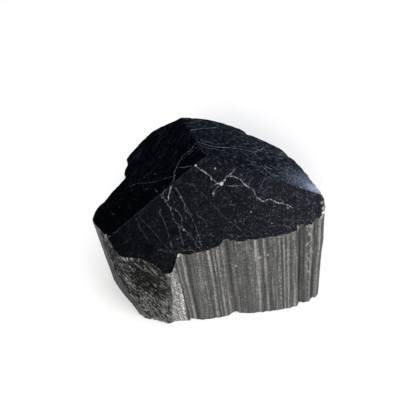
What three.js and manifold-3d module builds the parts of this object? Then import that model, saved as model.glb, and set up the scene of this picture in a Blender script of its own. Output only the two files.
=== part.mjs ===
// Black tourmaline (schorl): the end of one thick prism crystal, sawn flat underneath and polished
// to three facets on top, with its natural grooved sides left rough.
// Millimetres, +Z up. The origin is the middle of the stone's box, on the plane that it rests on.
import * as THREE from 'three';
import { mergeVertices } from 'three/addons/utils/BufferGeometryUtils.js';
import Module from 'manifold-3d';

// The highest point, where the three polished facets meet.
const apex = new THREE.Vector3(-2.2, -3.3, 54);

// The crystal's long axis leans towards -X. All the grooves follow it.
const leanDegrees = 6;

// Each facet is a plane through the apex. It falls towards its bearing, which is counted from +X
// towards +Y, at its slope from the horizontal.
const facets = [
  { name: 'front', bearing: -93.9, slope: 27.0 },
  { name: 'right', bearing: 53.2, slope: 23.6 },
  { name: 'left', bearing: 166.1, slope: 29.0 },
];

// The outline of the prism on the resting plane, before wear, counter-clockwise from the left end.
const outline = [
  [-39.2, -12.0], [-38.7, -15.5], [-34.5, -22.1], [-30.2, -28.7], // straight left flank
  [-28.0, -32.2], [-25.4, -34.6], [-20.4, -35.0], [-16.3, -36.4], // broken corner
  [-13.9, -37.7], [-12.7, -39.5], [-10.9, -40.4], [-9.0, -39.6], [-8.4, -37.4], // tongue
  [-8.5, -35.2], [-7.2, -34.6], [-5.4, -34.1], [-3.4, -34.5], // notch beside it
  [-1.6, -34.0], [1.4, -33.4], [6.3, -32.0], [8.6, -30.5], // grooved front
  [14.1, -30.8], [19.6, -29.9], [25.2, -29.2], [29.7, -28.2],
  [33.8, -26.8], [37.4, -25.9], [41.4, -23.4], [42.7, -20.0], // right front edge
  [42.3, -16.0], [40.9, -9.0], [38.9, 1.6], [37.0, 8.0], [35.1, 13.8], // right side
  [33.4, 17.4], [32.2, 20.8], [26.8, 26.0], [21.3, 30.3], // back right
  [19.0, 31.2], [17.2, 35.0], [12.4, 37.9], [6.5, 39.3], // step in the back
  [1.6, 39.3], [-3.6, 36.9], [-9.0, 34.0], [-18.6, 33.7], // back
  [-22.5, 31.6], [-26.0, 27.0], [-30.3, 20.4], [-29.4, 14.6], // back left
  [-30.2, 10.0], [-29.5, 4.8], [-33.9, -1.9], [-37.9, -7.6], // hollow left side
];
const outlineSamples = 216;

// Grooves along the prism: two sets of waves that run all the way round, as far in as out, and a few
// broad grooves on the front, each placed by its X on the resting plane.
const grooveWaves = [
  { pitch: 7.3, depth: 0.16 },
  { pitch: 3.1, depth: 0.15 },
];
const broadGrooves = [
  { x: 9.0, halfWidth: 1.6, depth: 0.4 },
  { x: 34.0, halfWidth: 1.4, depth: 0.8 },
  { x: 39.0, halfWidth: 1.4, depth: 0.6 },
];
const frontLimitY = -20;

// Places where the wall draws in below the polished edge, or flares out where the depth is below
// zero: centre on the outline, reach along the wall, depth at the foot, and the height at which the
// wall is back at the outline.
const undercuts = [
  { x: -10.8, y: -40.0, reach: 4.5, depth: 5.9, top: 36 },
  { x: -25.4, y: -34.0, reach: 8.0, depth: 1.7, top: 34 },
  { x: -38.4, y: -12.0, reach: 16.0, depth: -0.2, top: 34 },
  { x: 43.0, y: -19.0, reach: 8.0, depth: 0.8, top: 30 },
  { x: 20.0, y: -29.0, reach: 20.0, depth: -0.9, top: 40 },
];

// The scooped break in the left front wall, under the polished edge.
const scoop = { x: -21.4, y: -37.0, z: 24.0, radii: [8.5, 6.0, 9.5] };

// The prism is extruded past the apex in even steps and then cut by the facets.
const prismHeight = 60;
const prismSteps = 10;
const cutterSize = 160;
const scoopDetail = { around: 20, over: 12 };

const wasm = await Module();
wasm.setup();

// A closed three.js geometry as a solid, with its shared vertices merged.
function solidOf(geometry) {
  geometry.deleteAttribute('normal');
  geometry.deleteAttribute('uv');
  const merged = mergeVertices(geometry, 1e-4);
  return new wasm.Manifold(new wasm.Mesh({
    numProp: 3,
    vertProperties: new Float32Array(merged.attributes.position.array),
    triVerts: new Uint32Array(merged.index.array),
  }));
}

// A solid as a three.js geometry.
function geometryOf(solid) {
  const mesh = solid.getMesh();
  const geometry = new THREE.BufferGeometry();
  geometry.setAttribute('position', new THREE.BufferAttribute(mesh.vertProperties, 3));
  geometry.setIndex(new THREE.BufferAttribute(mesh.triVerts, 1));
  geometry.computeVertexNormals();
  return geometry;
}

// How deep the grooves cut at one point of the outline, at this distance along it.
function grooveDepth(point, distance) {
  let depth = 0;
  for (const wave of grooveWaves) {
    depth += wave.depth * Math.cos((2 * Math.PI * distance) / wave.pitch);
  }
  for (const groove of broadGrooves) {
    const offset = Math.abs(point.x - groove.x) / groove.halfWidth;
    if (point.y < frontLimitY && offset < 1) {
      depth += groove.depth * (1 - offset * offset);
    }
  }
  return depth;
}

// The grooved outline: a smooth closed curve through the outline's points, each sample moved
// inwards, square to the curve, by the grooves' depth there.
function groovedShape() {
  const corners = outline.map(([x, y]) => new THREE.Vector3(x, y, 0));
  const curve = new THREE.CatmullRomCurve3(corners, true, 'catmullrom');
  curve.arcLengthDivisions = 2000;
  const length = curve.getLength();
  const rim = [];
  for (let i = 0; i < outlineSamples; i++) {
    const share = i / outlineSamples;
    const point = curve.getPointAt(share);
    const along = curve.getTangentAt(share);
    const depth = grooveDepth(point, share * length);
    rim.push(new THREE.Vector2(point.x - along.y * depth, point.y + along.x * depth));
  }
  return new THREE.Shape(rim);
}

// The prism: the grooved outline extruded, drawn in where the wall is undercut, then leaned.
function makePrism() {
  const geometry = new THREE.ExtrudeGeometry(groovedShape(), {
    depth: prismHeight,
    steps: prismSteps,
    bevelEnabled: false,
  });
  const lean = Math.tan(THREE.MathUtils.degToRad(leanDegrees));
  const place = geometry.attributes.position;
  const point = new THREE.Vector3();
  for (let i = 0; i < place.count; i++) {
    point.fromBufferAttribute(place, i);
    const radius = Math.hypot(point.x, point.y);
    let drawnIn = 0;
    for (const cut of undercuts) {
      const away = Math.hypot(point.x - cut.x, point.y - cut.y) / cut.reach;
      const below = Math.max(0, 1 - point.z / cut.top);
      drawnIn += cut.depth * Math.exp(-away * away) * Math.sqrt(below);
    }
    const keep = 1 - drawnIn / radius;
    place.setXYZ(i, point.x * keep - lean * point.z, point.y * keep, point.z);
  }
  return solidOf(geometry);
}

// A large block whose underside is one facet's plane.
function facetCutter({ bearing, slope }) {
  const block = new THREE.BoxGeometry(cutterSize, cutterSize, cutterSize);
  block.translate(0, 0, cutterSize / 2);
  block.rotateY(THREE.MathUtils.degToRad(slope));
  block.rotateZ(THREE.MathUtils.degToRad(bearing));
  block.translate(apex.x, apex.y, apex.z);
  return solidOf(block);
}

// The hollow that the break leaves, as an egg-shaped cutter.
function scoopCutter() {
  const egg = new THREE.SphereGeometry(1, scoopDetail.around, scoopDetail.over);
  egg.scale(...scoop.radii);
  egg.translate(scoop.x, scoop.y, scoop.z);
  return solidOf(egg);
}

function makeStone() {
  let stone = makePrism();
  for (const facet of facets) {
    stone = stone.subtract(facetCutter(facet));
  }
  return stone.subtract(scoopCutter());
}

const blackTourmaline = new THREE.Mesh(
  geometryOf(makeStone()),
  new THREE.MeshStandardMaterial({ color: 0x17181c, roughness: 0.35, metalness: 0 }),
);
blackTourmaline.name = 'black_tourmaline';

const model = new THREE.Group();
model.add(blackTourmaline);
export default model;
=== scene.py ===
# Black tourmaline (schorl): the end of one thick prism crystal. It is sawn flat underneath, polished
# to three facets on top, and its grooved sides and broken corner are left as they grew.
# Lengths here are in millimetres; the meshes are in metres, in the frame's own axes.
import math

import bpy
import numpy as np
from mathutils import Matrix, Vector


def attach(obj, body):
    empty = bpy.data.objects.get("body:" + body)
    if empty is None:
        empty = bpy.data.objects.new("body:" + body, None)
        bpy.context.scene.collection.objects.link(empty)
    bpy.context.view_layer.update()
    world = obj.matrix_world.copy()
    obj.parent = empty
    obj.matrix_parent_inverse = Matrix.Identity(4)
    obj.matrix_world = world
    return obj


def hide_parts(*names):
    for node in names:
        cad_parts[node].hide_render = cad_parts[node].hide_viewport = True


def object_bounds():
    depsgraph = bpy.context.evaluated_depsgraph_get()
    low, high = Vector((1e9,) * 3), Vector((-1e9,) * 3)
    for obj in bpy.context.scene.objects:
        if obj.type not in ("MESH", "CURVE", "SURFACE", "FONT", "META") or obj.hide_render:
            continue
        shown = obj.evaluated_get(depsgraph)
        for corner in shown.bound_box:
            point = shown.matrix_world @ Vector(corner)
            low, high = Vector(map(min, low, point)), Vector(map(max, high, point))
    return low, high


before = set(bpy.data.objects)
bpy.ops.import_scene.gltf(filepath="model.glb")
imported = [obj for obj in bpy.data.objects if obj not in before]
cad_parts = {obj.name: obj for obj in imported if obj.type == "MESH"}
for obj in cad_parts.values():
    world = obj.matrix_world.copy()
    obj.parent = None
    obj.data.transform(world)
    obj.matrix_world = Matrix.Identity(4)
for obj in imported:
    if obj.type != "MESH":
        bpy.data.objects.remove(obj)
cadBox = [list(corner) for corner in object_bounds()]
print("frame loaded, box in metres:", cadBox)

mm = 0.001

# the crystal's form, as the construction has it
crystal = {
    "apex": (-2.2, -3.3, 54.0),
    "leanDegrees": 6.0,  # the long axis leans towards -X, and every groove follows it
    "facets": {  # each falls from the apex towards its bearing, counted from +X towards +Y
        "front": {"bearing": -93.9, "slope": 27.0},
        "right": {"bearing": 53.2, "slope": 23.6},
        "left": {"bearing": 166.1, "slope": 29.0},
    },
    "softRidge": 0.35,  # how much the ridge between left and right is rounded over
    "outline": [
        (-39.2, -12.0), (-38.7, -15.5), (-34.5, -22.1), (-30.2, -28.7),  # straight left flank
        (-28.0, -32.2), (-25.4, -34.6), (-20.4, -35.0), (-16.3, -36.4),  # broken corner
        (-13.9, -37.7), (-12.7, -39.5), (-10.9, -40.4), (-9.0, -39.6), (-8.4, -37.4),  # tongue
        (-8.5, -35.2), (-7.2, -34.6), (-5.4, -34.1), (-3.4, -34.5),  # notch beside it
        (-1.6, -34.0), (1.4, -33.4), (6.3, -32.0), (8.6, -30.5),  # grooved front
        (14.1, -30.8), (19.6, -29.9), (25.2, -29.2), (29.7, -28.2),
        (33.8, -26.8), (37.4, -25.9), (41.4, -23.4), (42.7, -20.0),  # right front edge
        (42.3, -16.0), (40.9, -9.0), (38.9, 1.6), (37.0, 8.0), (35.1, 13.8),  # right side
        (33.4, 17.4), (32.2, 20.8), (26.8, 26.0), (21.3, 30.3),  # back right
        (19.0, 31.2), (17.2, 35.0), (12.4, 37.9), (6.5, 39.3),  # step in the back
        (1.6, 39.3), (-3.6, 36.9), (-9.0, 34.0), (-18.6, 33.7),  # back
        (-22.5, 31.6), (-26.0, 27.0), (-30.3, 20.4), (-29.4, 14.6),  # back left
        (-30.2, 10.0), (-29.5, 4.8), (-33.9, -1.9), (-37.9, -7.6),  # hollow left side
    ],
    "broadGrooves": [  # X on the resting plane, half width, depth
        (9.0, 1.6, 0.4), (34.0, 1.4, 0.8), (39.0, 1.4, 0.6),
    ],
    "frontLimitY": -20.0,  # the broad grooves are in front of it
    "undercuts": [  # X, Y, reach along the wall, depth at the foot, height where it ends
        (-10.8, -40.0, 4.5, 5.9, 36.0), (-25.4, -34.0, 8.0, 1.7, 34.0),
        (-38.4, -12.0, 16.0, -0.2, 34.0), (43.0, -19.0, 8.0, 0.8, 30.0),
        (20.0, -29.0, 20.0, -0.9, 40.0),
    ],
}

# how finely the skin is laid out
skin = {
    "columns": 1120,
    "wallRows": 66,
    "capShares": [0.97, 0.88, 0.76, 0.63, 0.5, 0.37, 0.25, 0.15, 0.07],  # of the way from apex to rim
    "baseShares": [0.3, 0.6, 0.85],  # of the way from the middle of the foot to its edge
    "footBevel": 0.3,
    "rimBevel": 0.06,
    "rimGuess": 40.0,
    "rimPasses": 12,
}

# the grooved and broken walls
walls = {
    # front wall: its left, right and back edges with the width of their blends
    "frontLeft": (-9.6, 1.6),
    "frontRight": (42.8, 0.8),
    "frontBack": (-18.5, 2.0),
    # its steps, left to right: X on the resting plane, width, step outwards, and the edge's line: lighter for
    # wear and painted highlight, darker for painted shade
    "frontSteps": [
        (-7.9, 0.6, 0.1, 1.5), (-6.0, 0.9, 0.35, 1.0), (-4.7, 1.2, -0.35, -0.8), (-1.2, 0.5, 0.12, 0.5),
        (0.2, 0.4, 0.08, 0.3), (1.2, 0.7, -0.22, -0.6), (2.6, 0.6, 0.25, 0.9),
        (3.6, 0.5, -0.18, -0.4), (4.3, 0.4, 0.1, 0.3), (4.8, 0.4, -0.12, -0.3),
        (5.6, 0.5, 0.2, 0.7), (6.3, 0.4, -0.08, -0.1), (7.4, 1.0, 0.25, 0.6),
        (8.9, 0.9, -0.3, -0.7), (10.2, 0.5, 0.15, 0.5), (11.2, 0.6, -0.15, -0.4),
        (18.3, 1.0, 0.35, 0.9), (19.8, 1.0, -0.25, -0.4), (21.1, 0.7, 0.25, 0.65),
        (22.3, 0.9, -0.2, -0.4), (24.6, 0.5, 0.12, 0.3), (26.3, 0.6, 0.1, 0.35),
        (27.0, 0.4, -0.15, -0.2), (27.7, 0.5, 0.2, 0.65), (28.2, 0.3, -0.1, 0.0),
        (28.9, 0.6, 0.2, 0.55), (30.0, 0.6, -0.15, -0.1), (31.3, 0.8, 0.25, 0.65),
        (33.4, 1.0, -0.5, -0.9), (35.0, 1.2, -0.1, -0.5), (37.3, 0.6, 0.35, 0.8),
        (38.9, 1.2, -0.4, -0.8), (40.5, 0.8, 0.3, 0.6),
    ],
    "frontLevel": -0.25,
    "ribs": [  # seed, mean width, height, share that the front wall keeps
        (11, 2.6, 0.26, 0.06), (12, 1.1, 0.13, 0.3), (13, 0.55, 0.06, 0.9),
    ],
    "ribEdge": 0.16,
    "flankEnd": (15.0, 4.0),  # the straight left flank is smoother than the other sides up to this arc
    # edges of the broken corner and the crest beside it: heights, and the arc along the outline there
    "brokenStart": ([0, 6, 9, 12, 15, 20, 26], [22.0, 21.2, 20.3, 18.2, 14.6, 12.0, 11.0]),
    "brokenStop": ([5, 13, 23, 31], [38.2, 39.2, 41.3, 42.8]),
    "crest": ([5, 13, 18, 24, 36], [43.8, 45.0, 46.3, 47.8, 48.1]),
    "crestPatch": (21.0, 7.0),  # height and reach of its whitest part, where the painted highlight is strongest
    "seam": {"halfWidth": 0.35, "foot": (8.0, 6.0), "top": (33.0, 3.0), "depth": 0.3},
    # painted shade on the low left flank: its top, start and stop edges, and how much darker
    "shade": {"top": (22.0, 10.0), "start": (-2.0, 6.0), "stop": (-12.0, 4.0), "depth": 0.9},
    "lumps": [  # seed, size, height: the broken corner's splinters
        (21, 2.6, 1.0), (22, 1.2, 0.7), (23, 0.6, 0.5),
    ],
    "lumpStretch": 0.36,
    "splinterSlant": (0.8, -0.32),  # the splinters run down to the right of the long axis
    "rimCalm": (2.5, 0.2),  # depth below the rim where the break is fully rough, its share at the rim
    "hollow": {"at": (-19.7, -35.3), "height": 24.3, "halfWidth": 7.4, "halfHeight": 9.0, "depth": 3.4},
    "crackBand": {"from": (35.6, 0.5), "to": (39.6, 0.5), "above": (13.0, 5.0), "frontOf": -15.0},
    "chips": [  # X and Y near the rim, reach along it, size
        (41.6, -21.5, 2.0, 0.7), (-7.4, -35.4, 1.2, 0.6), (-31.5, -26.5, 1.0, 0.3),
        (42.0, -16.5, 1.2, 0.8), (-24.0, -34.8, 1.5, 0.25), (33.5, -26.9, 0.8, 0.5),
        (20.0, 31.0, 1.5, 0.6), (-29.6, 5.0, 1.6, 0.5), (36.0, 15.0, 1.2, 0.6),
    ],
}


def ease(value):
    # 3t^2 - 2t^3 with t held between 0 and 1
    held = np.clip(value, 0.0, 1.0)
    return held * held * (3.0 - 2.0 * held)


def rise(value, edge):
    # 0 to 1, eased over the width that follows the edge's place
    place, width = edge
    return ease((value - place) / width)


def fall(value, edge):
    # 1 to 0, eased over the width that comes before the edge's place
    place, width = edge
    return ease((place - value) / width)


def latticeNoise(x, y, z, seed):
    # smooth noise from 0 to 1: random numbers on a repeating lattice of 32 cells, blended by ease
    size = 32
    lattice = np.random.default_rng(seed).random((size, size, size))
    x, y, z = np.broadcast_arrays(x, y, z)
    low = [np.floor(axis).astype(int) for axis in (x, y, z)]
    share = [ease(axis - floor) for axis, floor in zip((x, y, z), low)]
    total = np.zeros(x.shape)
    for corner in np.ndindex(2, 2, 2):
        weight = np.ones(x.shape)
        for axis in range(3):
            weight = weight * (share[axis] if corner[axis] else 1.0 - share[axis])
        cell = [(low[axis] + corner[axis]) % size for axis in range(3)]
        total = total + weight * lattice[cell[0], cell[1], cell[2]]
    return total


def sharpNoise(x, y, z, seed):
    # 1 - |2n - 1|: smooth noise folded into sharp crests
    return 1.0 - np.abs(2.0 * latticeNoise(x, y, z, seed) - 1.0)


def closedCurve(points, steps):
    # uniform Catmull-Rom through a, b, c, d:
    # P(t) = (2b + (c - a)t + (2a - 5b + 4c - d)t^2 + (3b - a - 3c + d)t^3) / 2
    b = np.array(points, float)[:, None, :]
    a = np.roll(b, 1, axis=0)
    c = np.roll(b, -1, axis=0)
    d = np.roll(b, -2, axis=0)
    t = np.linspace(0.0, 1.0, steps, endpoint=False)[None, :, None]
    curve = 2 * b + (c - a) * t + (2 * a - 5 * b + 4 * c - d) * t**2 + (3 * b - a - 3 * c + d) * t**3
    return curve.reshape(-1, 2) / 2


def makeColumns():
    # columns at equal arc along the outline; outward = (dy, -dx) / length of the tangent
    curve = closedCurve(crystal["outline"], 80)
    closed = np.vstack([curve, curve[:1]])
    chords = np.hypot(*np.diff(closed, axis=0).T)
    arcs = np.concatenate([[0.0], np.cumsum(chords)])
    around = arcs[-1]
    arc = np.arange(skin["columns"]) * around / skin["columns"]
    x = np.interp(arc, arcs, closed[:, 0])
    y = np.interp(arc, arcs, closed[:, 1])
    dx = np.roll(x, -1) - np.roll(x, 1)
    dy = np.roll(y, -1) - np.roll(y, 1)
    length = np.hypot(dx, dy)
    return {"x": x, "y": y, "outX": dy / length, "outY": -dx / length, "arc": arc, "around": around}


def arcNear(columns, x, y):
    # the arc of the column nearest to (x, y)
    return columns["arc"][np.argmin(np.hypot(columns["x"] - x, columns["y"] - y))]


def arcFrom(columns, arc):
    # signed distance along the outline from an arc, the short way round
    half = columns["around"] / 2
    return (columns["arc"] - arc + half) % columns["around"] - half


def randomRibs(arc, around, seed, meanWidth):
    # flat ribs of random width and level, joined by short ramps: a closed row of trapezia
    draw = np.random.default_rng(seed)
    count = int(around / meanWidth)
    ends = np.cumsum(draw.lognormal(0.0, 0.55, count))
    ends = ends * around / ends[-1]
    starts = np.concatenate([[0.0], ends[:-1]])
    ramp = np.minimum(walls["ribEdge"], (ends - starts) * 0.3)
    knots = np.column_stack([starts + ramp, ends - ramp]).ravel()
    levels = np.repeat(draw.uniform(-1.0, 1.0, count), 2)
    return np.interp(arc % around, knots, levels, period=around)


def frontWall(x, y, drift):
    # front = product of its eased edges; steps = sum of outwards * ease, each with a light or dark line
    # wornAndLit * exp(-(offset / (0.55 * width))^2), painted highlight and painted shade with some wear;
    # broad = sum of depth * (1 - offset^2)
    front = rise(x, walls["frontLeft"]) * fall(x, walls["frontRight"]) * fall(y, walls["frontBack"])
    steps = np.full(x.shape, walls["frontLevel"])
    lines = np.zeros(x.shape)
    slide = x + 0.4 * drift
    for place, width, outwards, wornAndLit in walls["frontSteps"]:
        steps = steps + outwards * ease((slide - place) / width + 0.5)
        lines = lines + wornAndLit * np.exp(-(((slide - place) / (0.55 * width)) ** 2))
    broad = np.zeros(x.shape)
    for place, halfWidth, depth in crystal["broadGrooves"]:
        inFront = y < crystal["frontLimitY"]
        broad = broad + depth * np.clip(1.0 - ((x - place) / halfWidth) ** 2, 0.0, 1.0) * inFront
    return front, steps, lines, broad


def sideRibs(around, x, y, arc, height, drift, front):
    # sum of ribs that wander a little and change from one random row to another on the way down
    flank = fall(arc, walls["flankEnd"])
    ribs = np.zeros(height.shape)
    for seed, meanWidth, ribHeight, frontShare in walls["ribs"]:
        first = randomRibs(arc + drift, around, seed, meanWidth)
        second = randomRibs(arc + drift, around, seed + 100, meanWidth)
        swap = ease(3.0 * latticeNoise(x / 5, y / 5, height / 22, seed + 50) - 1.0)
        kept = (1.0 - (1.0 - frontShare) * front) * (1.0 - 0.7 * flank)
        ribs = ribs + ribHeight * kept * (first * (1.0 - swap) + second * swap)
    return ribs


def wallRelief(columns, height, below):
    # outward relief = ribs + steps of the front wall + splinters - hollow - broad grooves - seam + grain,
    # and the surface's marks, each per column, height and depth below the rim
    x, y, arc = (np.broadcast_to(columns[name], height.shape) for name in ("x", "y", "arc"))
    drift = 0.5 * (latticeNoise(x / 8, y / 8, height / 16, 31) - 0.5)
    wander = latticeNoise(x / 3, y / 3, height / 9, 32)
    front, steps, lines, broad = frontWall(x, y, drift)
    ribs = sideRibs(columns["around"], x, y, arc, height, drift, front)

    # broken corner, between its two edges
    ragged = 2.0 * (latticeNoise(x / 1.5, y / 1.5, height / 4, 33) - 0.5)
    fromStart = arc - np.interp(height, *walls["brokenStart"])
    fromStop = arc - np.interp(height, *walls["brokenStop"])
    rough = ease((fromStart + ragged) / 1.6) * ease((0.4 * ragged - fromStop) / 0.8)
    calmDepth, calmShare = walls["rimCalm"]
    wildness = calmShare + (1.0 - calmShare) * ease(below / calmDepth)
    slantX, slantY = walls["splinterSlant"]
    alongX = x + slantX * height + 0.8 * (latticeNoise(x / 3, y / 3, height / 5, 38) - 0.5)
    alongY = y + slantY * height
    lumps = np.zeros(height.shape)
    for seed, size, lumpHeight in walls["lumps"]:
        field = sharpNoise(alongX / size, alongY / size, height * walls["lumpStretch"] / size, seed)
        lumps = lumps + lumpHeight * (field - 0.5)

    # the hollow in it, with a ragged lip
    pit = walls["hollow"]
    across = np.broadcast_to(arcFrom(columns, arcNear(columns, *pit["at"])), height.shape)
    lip = 0.55 * (sharpNoise(alongX / 1.8, alongY / 1.8, height / 6.0, 34) - 0.5)
    reach = np.hypot(across / pit["halfWidth"], (height - pit["height"]) / pit["halfHeight"]) + lip
    hollow = ease((1.05 - reach) / 0.6) * rough * ease(below / 1.5)

    # light band beside it, with a whitish crest painted as a highlight and pale chips at the rim, and a dark
    # seam whose darkness is painted shade
    toCrest = np.interp(height, *walls["crest"]) - arc
    patchHeight, patchReach = walls["crestPatch"]
    patch = np.exp(-(((height - patchHeight) / patchReach) ** 2))
    inBand = ease((fromStop + 0.2) / 0.8) * ease(toCrest / 0.8 + 0.5)
    bruised = 0.35 * inBand + np.exp(-(((toCrest - 0.3 + drift) / 0.8) ** 2)) * (0.35 + 0.9 * patch)
    bruised = bruised + 1.6 * listedChips(columns) * np.exp(-((below / 0.9) ** 2))
    crease = walls["seam"]
    seam = np.exp(-(((fromStop - 0.2) / crease["halfWidth"]) ** 2))
    seam = seam * rise(height, crease["foot"]) * fall(height, crease["top"])

    # the cracked right front edge
    band = walls["crackBand"]
    cracked = rise(x, band["from"]) * fall(x, band["to"]) * rise(height, band["above"])
    cracked = cracked * (y < band["frontOf"])

    plain = ribs * (1.0 - rough) + steps * front * (1.0 - rough)
    fine = 0.14 * (latticeNoise(x * 2.2, y * 2.2, height * 0.16, 36) - 0.5)
    grain = 0.10 * (latticeNoise(x * 1.6, y * 1.6, height * 1.6, 37) - 0.5)
    relief = plain + fine * (1.0 - rough) + grain + rough * wildness * lumps - pit["depth"] * hollow - broad
    relief = relief + 3.0 * bruised * grain - crease["depth"] * seam

    # wear and painted light: the lines of the front wall; elsewhere how far a rib stands above its
    # neighbourhood, lighter on worn crests, darker in grooves as painted shade
    nearby = sum(np.roll(plain, shift, axis=-1) for shift in range(-3, 4)) / 7
    proud = np.clip((plain - nearby) / 0.09, -1.0, 1.0)
    wear = lines * front * (0.35 + 1.1 * wander) + 0.7 * proud * (1.0 - 0.4 * front) * (1.0 - rough)
    # painted shade: the low left flank made darker
    dark = walls["shade"]
    shade = fall(height, dark["top"]) * rise(arc, dark["start"]) * fall(fromStop, dark["stop"])
    wear = wear - dark["depth"] * shade * (1.0 - rough)
    # painted shade on the break: low lumps and the seam's crease darker, high lumps lighter
    bumpy = np.clip((lumps - 0.1) / 0.5, -1.0, 1.0)
    wear = wear * (1.0 - rough) + bumpy * rough - 2.0 * seam
    marks = {"wear": wear, "rough": rough, "hollow": hollow, "bruised": bruised, "cracked": cracked}
    return relief, marks


def wallPlan(columns, height, below):
    # plan = outline * (1 - drawn in / radius) + outward * relief, leaned by tan(lean) * height; the
    # undercut is depth * exp(-away^2) * min(sqrt(b), sqrt(6) * b), with b = 1 - height / top
    x = columns["x"]
    y = columns["y"]
    radius = np.hypot(x, y)
    drawnIn = np.zeros(height.shape)
    for placeX, placeY, reach, depth, top in crystal["undercuts"]:
        away = np.hypot(x - placeX, y - placeY) / reach
        low = np.clip(1.0 - height / top, 0.0, None)
        drawnIn = drawnIn + depth * np.exp(-(away**2)) * np.minimum(np.sqrt(low), math.sqrt(6) * low)
    keep = 1.0 - drawnIn / radius
    relief, marks = wallRelief(columns, height, below)
    lean = math.tan(math.radians(crystal["leanDegrees"]))
    planX = x * keep + columns["outX"] * relief - lean * height
    planY = y * keep + columns["outY"] * relief
    return planX, planY, marks


def facetHeight(x, y):
    # lowest of the planes z = apex - tan(slope) * distance along the bearing; left and right are
    # joined softly by min(a, b) - k * log(1 + exp(-|a - b| / k))
    planes = {}
    for name, facet in crystal["facets"].items():
        bearing = math.radians(facet["bearing"])
        along = (x - crystal["apex"][0]) * math.cos(bearing) + (y - crystal["apex"][1]) * math.sin(bearing)
        planes[name] = crystal["apex"][2] - math.tan(math.radians(facet["slope"])) * along
    soft = crystal["softRidge"]
    gap = np.abs(planes["left"] - planes["right"])
    upper = np.minimum(planes["left"], planes["right"]) - soft * np.log1p(np.exp(-gap / soft))
    return np.minimum(planes["front"], upper)


def ridgeBearing(first, second):
    # the plan bearing of the falling line in which two facets meet: the cross product of their normals
    normals = []
    for name in (first, second):
        bearing = math.radians(crystal["facets"][name]["bearing"])
        slope = math.radians(crystal["facets"][name]["slope"])
        outwards = math.sin(slope)
        normals.append([outwards * math.cos(bearing), outwards * math.sin(bearing), math.cos(slope)])
    line = np.cross(*normals)
    if line[2] > 0:
        line = -line
    return math.atan2(line[1], line[0])


def listedChips(columns):
    # the listed chips: the sum of size * exp(-(distance along the outline / reach)^2)
    size = np.zeros(skin["columns"])
    for placeX, placeY, reach, depth in walls["chips"]:
        apart = arcFrom(columns, arcNear(columns, placeX, placeY)) / reach
        size = size + depth * np.exp(-(apart**2))
    return size


def chipSizes(columns):
    # small everywhere, larger at seeded places and at the listed ones, ragged from column to column
    x = columns["x"]
    y = columns["y"]
    size = 0.4 * ease((latticeNoise(x / 1.6, y / 1.6, 0.0 * x, 41) - 0.72) / 0.2)
    size = size * (0.25 + 0.75 * ease((columns["arc"] - 44.0) / 4.0))
    size = size + listedChips(columns)
    ragged = 0.45 + 1.1 * latticeNoise(x * 1.4, y * 1.4, 0.0 * x, 42)
    return skin["rimBevel"] + size * ragged


def rimHeights(columns):
    # repeat height = the facets' height above the leaned wall, until it settles
    rim = np.full(skin["columns"], skin["rimGuess"])
    for _ in range(skin["rimPasses"]):
        planX, planY, _ = wallPlan(columns, rim, 0.0 * rim)
        rim = facetHeight(planX, planY)
    return rim


def facetEdge(columns, rim, chip):
    # inner edge of the chips: distance from the apex less chip; the bearings are kept in order so that no
    # column crosses the next, and the column nearest to each ridge is moved on to it
    apexX, apexY, _ = crystal["apex"]
    planX, planY, _ = wallPlan(columns, rim, 0.0 * rim)
    radius = np.hypot(planX - apexX, planY - apexY) - chip
    bearing = np.unwrap(np.arctan2(planY - apexY, planX - apexX))
    leastStep = 1e-4 * np.arange(skin["columns"])
    bearing = np.maximum.accumulate(bearing - leastStep) + leastStep
    ridges = []
    for pair in (("front", "left"), ("front", "right"), ("left", "right")):
        target = ridgeBearing(*pair)
        while target < bearing[0]:
            target = target + 2 * math.pi
        nearest = int(np.argmin(np.abs(bearing - target)))
        radius[nearest] = np.interp(target, bearing, radius)
        bearing[nearest] = target
        ridges.append(nearest)
    return apexX + radius * np.cos(bearing), apexY + radius * np.sin(bearing), ridges


def layRings(columns):
    # rings of columns from the middle of the foot, out and up the wall, over the rim to the apex
    apexX, apexY, _ = crystal["apex"]
    rim = rimHeights(columns)
    chip = chipSizes(columns)

    # wall rows at even shares between the foot and the chipped rim
    share = np.linspace(0.0, 1.0, skin["wallRows"])[:, None]
    wallZ = skin["footBevel"] + share * (rim - chip - skin["footBevel"])[None, :]
    wallX, wallY, marks = wallPlan(columns, wallZ, rim - wallZ)

    # facets: straight lines from the rim's inner edge to the apex
    edgeX, edgeY, ridges = facetEdge(columns, rim, chip)
    caps = np.array([1.0, *skin["capShares"]])[:, None]
    capX = apexX + (edgeX - apexX)[None, :] * caps
    capY = apexY + (edgeY - apexY)[None, :] * caps

    # foot: the wall's lowest row drawn in by the bevel, and rings towards its middle
    shares = np.array([*skin["baseShares"], 1.0])[:, None]
    baseX = (wallX[:1] - columns["outX"] * skin["footBevel"]) * shares
    baseY = (wallY[:1] - columns["outY"] * skin["footBevel"]) * shares

    x = np.vstack([baseX, wallX, capX])
    y = np.vstack([baseY, wallY, capY])
    z = np.vstack([np.zeros(baseX.shape), wallZ, facetHeight(capX, capY)])
    return (x, y, z), marks, ridges


def markSharp(mesh, rings, loops, crisp):
    # sharp: the edges along the rings in loops, and those up the facets in the crisp columns
    count = skin["columns"]
    pairs = np.empty(len(mesh.edges) * 2, int)
    mesh.edges.foreach_get("vertices", pairs)
    pairs = np.sort(pairs.reshape(-1, 2), axis=1)
    ring = pairs // count
    level = (ring[:, 0] == ring[:, 1]) & (pairs[:, 1] < rings * count)
    onLoop = level & np.isin(ring[:, 0], loops)
    onRidge = ~level & (ring[:, 0] >= loops[-1]) & np.isin(pairs[:, 0] % count, crisp)
    mesh.attributes.new("sharp_edge", "BOOLEAN", "EDGE").data.foreach_set("value", onLoop | onRidge)


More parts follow.
